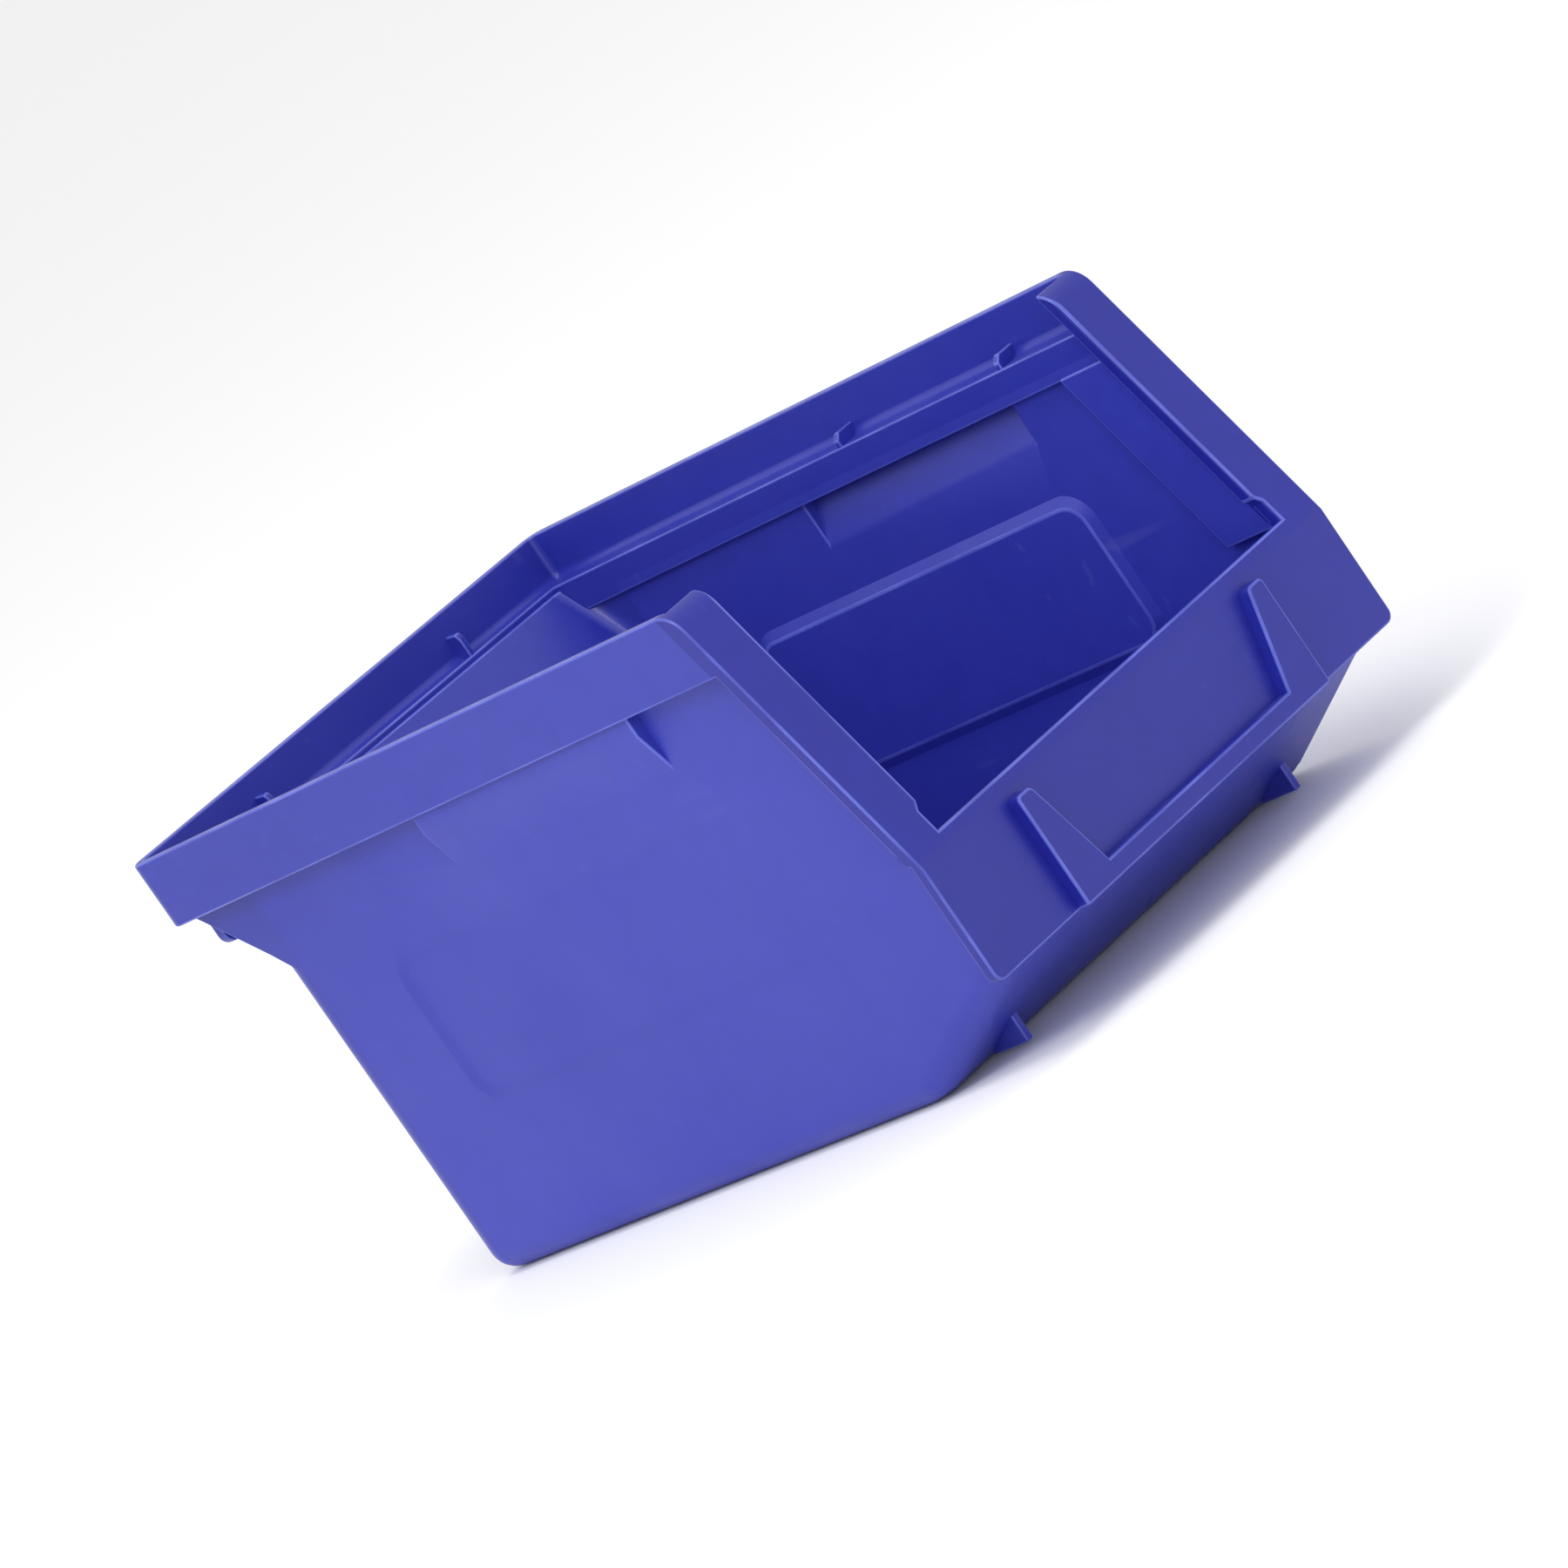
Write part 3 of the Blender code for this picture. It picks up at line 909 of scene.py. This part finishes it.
def row(tree, name, shape, count, first, step, turn, finish):
    """A row of one shape, as a plain mesh."""
    piece = new_object(name, shape)
    ribs = piece.modifiers.new("Row", "NODES")
    ribs.node_group = tree
    values = {"Count": count, "First": first, "Step": step, "Turn": turn, "Finish": finish}
    for item in tree.interface.items_tree:
        if item.in_out == "INPUT" and item.name in values:
            ribs[item.identifier] = values[item.name]
    settle(piece)
    return piece


# ---- finishes ----


def finish_nodes(name, deep, pale, roughness):
    """Blue polypropylene: flow marks, fine grain, scuffs, edges smoothed by use with a painted
    highlight on them, and a little dust.
    """
    material = bpy.data.materials.new(name)
    material.use_nodes = True
    tree = material.node_tree
    shader = tree.nodes["Principled BSDF"]
    shader.inputs["IOR"].default_value = REFRACTION
    place = tree.nodes.new("ShaderNodeTexCoord").outputs["Object"]

    def noise(scale, detail, stretch=(1, 1, 1), turn=(0, 0, 0)):
        """Noise in the bin's own space. A low stretch along an axis draws its spots out along it."""
        mapping = tree.nodes.new("ShaderNodeMapping")
        mapping.inputs["Scale"].default_value = stretch
        mapping.inputs["Rotation"].default_value = turn
        tree.links.new(place, mapping.inputs["Vector"])
        texture = tree.nodes.new("ShaderNodeTexNoise")
        texture.inputs["Scale"].default_value = scale
        texture.inputs["Detail"].default_value = detail
        tree.links.new(mapping.outputs["Vector"], texture.inputs["Vector"])
        return texture.outputs["Fac"]

    def spread(value, low, high, out_low=0.0, out_high=1.0):
        """The value brought from low..high to out_low..out_high."""
        node = tree.nodes.new("ShaderNodeMapRange")
        tree.links.new(value, node.inputs["Value"])
        settings = (low, high, out_low, out_high)
        for socket, number in zip(("From Min", "From Max", "To Min", "To Max"), settings):
            node.inputs[socket].default_value = number
        return node.outputs["Result"]

    def maths(operation, first, second):
        """One operation on two values, of which the second can be a plain number."""
        node = tree.nodes.new("ShaderNodeMath")
        node.operation = operation
        tree.links.new(first, node.inputs[0])
        if isinstance(second, float):
            node.inputs[1].default_value = second
        else:
            tree.links.new(second, node.inputs[1])
        return node.outputs["Value"]

    def blend(share, first, second):
        """Two colours mixed: the share is how much of the second shows."""
        node = tree.nodes.new("ShaderNodeMix")
        node.data_type = "RGBA"
        tree.links.new(share, node.inputs["Factor"])
        sockets = [socket for socket in node.inputs if socket.type == "RGBA"]
        for socket, value in zip(sockets, (first, second)):
            if isinstance(value, tuple):
                socket.default_value = (*value, 1)
            else:
                tree.links.new(value, socket)
        return next(socket for socket in node.outputs if socket.type == "RGBA")

    worn_and_highlit = tree.nodes.new("ShaderNodeAttribute")
    worn_and_highlit.attribute_name = WORN_AND_HIGHLIT
    normal = tree.nodes.new("ShaderNodeNewGeometry").outputs["Normal"]
    upright = tree.nodes.new("ShaderNodeSeparateXYZ")
    tree.links.new(normal, upright.inputs["Vector"])

    flow = spread(noise(scale=11, detail=3, stretch=(1, 0.45, 1)), low=0.3, high=0.7)
    mottle = spread(noise(scale=170, detail=4), low=0.35, high=0.65)
    patches = spread(noise(scale=26, detail=2), low=0.52, high=0.72)
    lengthwise = noise(scale=240, detail=2, stretch=(1, 0.05, 0.6), turn=(0.2, 0.1, 0.5))
    crosswise = noise(scale=210, detail=2, stretch=(0.05, 1, 0.7), turn=(0.4, 0.0, -0.3))
    scratches = maths(
        "MAXIMUM",
        spread(lengthwise, low=0.66, high=0.72),
        spread(crosswise, low=0.67, high=0.73),
    )
    scratches = maths("MULTIPLY", scratches, patches)
    # How strongly each rounded edge is smoothed and painted with a highlight, in patches.
    wear_and_highlight_patches = spread(noise(scale=60, detail=3), low=0.3, high=0.7, out_low=0.35, out_high=1.0)
    rubbed_and_highlit = maths("MULTIPLY", worn_and_highlit.outputs["Fac"], wear_and_highlight_patches)
    level = spread(upright.outputs["Z"], low=0.75, high=1.0)
    dust = maths("MULTIPLY", level, spread(noise(scale=75, detail=5), low=0.4, high=0.8))

    shade = tuple(MOTTLE_SHADE * part for part in deep)
    colour = blend(flow, deep, pale)
    colour = blend(maths("MULTIPLY", mottle, MOTTLE_SHARE), colour, shade)
    colour = blend(maths("MULTIPLY", scratches, SCRATCH_SHARE), colour, SCUFF_COLOUR)
    # Painted highlight: the rounded edges are made paler, in place of the glints of light along
    # them.
    colour = blend(maths("MULTIPLY", rubbed_and_highlit, PAINTED_EDGE_HIGHLIGHT_SHARE), colour, PAINTED_EDGE_HIGHLIGHT)
    colour = blend(maths("MULTIPLY", dust, DUST_SHARE), colour, DUST_COLOUR)
    tree.links.new(colour, shader.inputs["Base Color"])

    limits = {"out_low": roughness + SMOOTHEST, "out_high": roughness + ROUGHEST}
    rough = spread(noise(scale=34, detail=4), low=0.3, high=0.7, **limits)
    rough = maths("ADD", rough, maths("MULTIPLY", scratches, SCRATCH_ROUGHER))
    rough = maths("SUBTRACT", rough, maths("MULTIPLY", rubbed_and_highlit, RUBBED_SMOOTHER))
    rough = maths("ADD", rough, maths("MULTIPLY", dust, DUST_ROUGHER))
    tree.links.new(rough, shader.inputs["Roughness"])

    def bump(height, distance, below=None):
        """Relief of a height in metres, on top of the relief below."""
        node = tree.nodes.new("ShaderNodeBump")
        node.inputs["Strength"].default_value = 1
        node.inputs["Distance"].default_value = distance
        tree.links.new(height, node.inputs["Height"])
        if below is not None:
            tree.links.new(below, node.inputs["Normal"])
        return node.outputs["Normal"]

    surface = bump(noise(scale=22, detail=2), WAVE_HEIGHT)
    surface = bump(noise(scale=1100, detail=2), GRAIN_HEIGHT, surface)
    surface = bump(scratches, -SCRATCH_DEPTH, surface)
    tree.links.new(surface, shader.inputs["Normal"])
    return material


# ---- put together ----


def smooth(piece):
    """Smooth shading that breaks at corners, with flat faces kept flat."""
    bm = bmesh.new()
    bm.from_mesh(piece.data)
    for face in bm.faces:
        face.smooth = True
    for edge in bm.edges:
        edge.smooth = edge.is_manifold and edge.calc_face_angle() < SHARP
    bm.to_mesh(piece.data)
    bm.free()
    step = piece.modifiers.new("Normals", "WEIGHTED_NORMAL")
    step.keep_sharp = True


def set_in_place(piece, finish, nodes):
    """Gives a piece its finish and its body, and hides the frame's nodes that it stands for."""
    smooth(piece)
    piece.data.materials.clear()
    piece.data.materials.append(finish)
    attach(piece, BODY)
    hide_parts(*nodes)


def build():
    """Makes every piece, with its finish, and hides the frame's nodes that each one stands for."""
    # One plastic in three materials, whose base colours differ only as painted shade: darkest on the
    # label parts, then the rim, palest on the walls, floor and chin.
    wall_finish_painted_palest = finish_nodes("blue_wall_satin_painted_palest", WALL_DEEP, WALL_PALE, WALL_ROUGHNESS)
    rim_finish_painted_middle = finish_nodes("blue_rim_satin_painted_middle", RIM_DEEP, RIM_PALE, RIM_ROUGHNESS)
    label_finish_painted_darkest = finish_nodes("blue_label_satin_painted_darkest", LABEL_DEEP, LABEL_PALE, LABEL_ROUGHNESS)
    body = moulding()
    pieces = cut_up(body)
    stands_for = {
        "label_panel": ["label_plate"],
        "chin_slope": ["front_chin"],
        "base": ["floor_panel"],
        "rim_back": ["back_ledge", "back_lip", "hanging_lip"],
        "panel_back": ["back_wall", "back_shoulder", "left_shoulder_cheek", "right_shoulder_cheek"],
    }
    finishes = {"label_panel": label_finish_painted_darkest, "rim_back": rim_finish_painted_middle, "panel_back": rim_finish_painted_middle}
    for side in SIDES:
        stands_for["sloping_strip_" + side] = [side + "_front_strip"]
        stands_for["rim_" + side] = [side + end for end in ("_lip", "_ledge", "_upper_band")]
        walls = ("_wall", "_wall_panel", "_grip_pocket", "_front_band")
        stands_for["side_" + side] = [side + end for end in walls]
        finishes["sloping_strip_" + side] = label_finish_painted_darkest
        finishes["rim_" + side] = rim_finish_painted_middle
    for name, piece in pieces.items():
        set_in_place(piece, finishes.get(name, wall_finish_painted_palest), stands_for[name])

    ribs = ["label_ledge", "left_label_rib", "right_label_rib"]
    set_in_place(label_frame(), label_finish_painted_darkest, ribs)
    tree = row_tree()
    spacing = (0, STOP_REAR - STOP_FRONT, 0)
    for side, sign in SIDES.items():
        first = (sign * LIP_INNER, STOP_FRONT, LEDGE_TOP)
        turn = 0 if sign > 0 else pi
        stops = row(tree, "stops_" + side, ledge_stop(), 2, first, spacing, turn, rim_finish_painted_middle)
        set_in_place(stops, rim_finish_painted_middle, [side + "_front_stop", side + "_rear_stop"])
    first = (-BACK_STOP_X, BACK - LIP_THICK, LEDGE_TOP)
    spacing = (2 * BACK_STOP_X, 0, 0)
    stops = row(tree, "stops_back", back_stop(), 2, first, spacing, 0, rim_finish_painted_middle)
    set_in_place(stops, rim_finish_painted_middle, ["left_back_stop", "right_back_stop"])
    spacing = (2 * FIN_X, 0, 0)
    fins = row(tree, "fins_chin", chin_fin(), 2, (-FIN_X, 0, 0), spacing, 0, wall_finish_painted_palest)
    set_in_place(fins, wall_finish_painted_palest, ["left_chin_fin", "right_chin_fin"])


build()

# ---- stage ----


def aimed(place, roll=0.0):
    """A matrix at a place, looking at the middle of the bin, turned to the right by the roll."""
    turn = (AIM - place).to_track_quat("-Z", "Y").to_matrix().to_4x4()
    return Matrix.Translation(place) @ turn @ Matrix.Rotation(-roll, 4, "Z")


def camera():
    """A long lens, rolled to the right, that looks down on the bin from its front left."""
    data = bpy.data.cameras.new("camera")
    data.lens = CAMERA_LENS
    data.clip_end = CAMERA_REACH
    piece = bpy.data.objects.new("camera", data)
    bpy.context.scene.collection.objects.link(piece)
    piece.matrix_world = aimed(CAMERA_PLACE, CAMERA_ROLL)
    bpy.context.scene.camera = piece


def softbox(name, place, size, power):
    """A rectangular lamp aimed at the bin."""
    data = bpy.data.lights.new(name, "AREA")
    data.shape = "RECTANGLE"
    data.size, data.size_y = size
    data.energy = power
    lamp = bpy.data.objects.new(name, data)
    bpy.context.scene.collection.objects.link(lamp)
    lamp.matrix_world = aimed(Vector(place))


def stage():
    """The floor, the sky and the lamps."""
    bm = bmesh.new()
    bmesh.ops.create_grid(bm, x_segments=1, y_segments=1, size=FLOOR_REACH)
    floor = new_object("studio_floor", bm)
    paint = bpy.data.materials.new("floor_paint")
    paint.use_nodes = True
    shader = paint.node_tree.nodes["Principled BSDF"]
    shader.inputs["Base Color"].default_value = FLOOR_COLOUR
    shader.inputs["Roughness"].default_value = FLOOR_ROUGHNESS
    floor.data.materials.append(paint)
    world = bpy.data.worlds.new("studio")
    world.use_nodes = True
    sky = world.node_tree.nodes["Background"]
    sky.inputs["Color"].default_value = SKY_COLOUR
    sky.inputs["Strength"].default_value = SKY_STRENGTH
    bpy.context.scene.world = world
    for lamp in SOFTBOXES:
        softbox(*lamp)
    bpy.context.scene.view_settings.view_transform = "Standard"


camera()
stage()
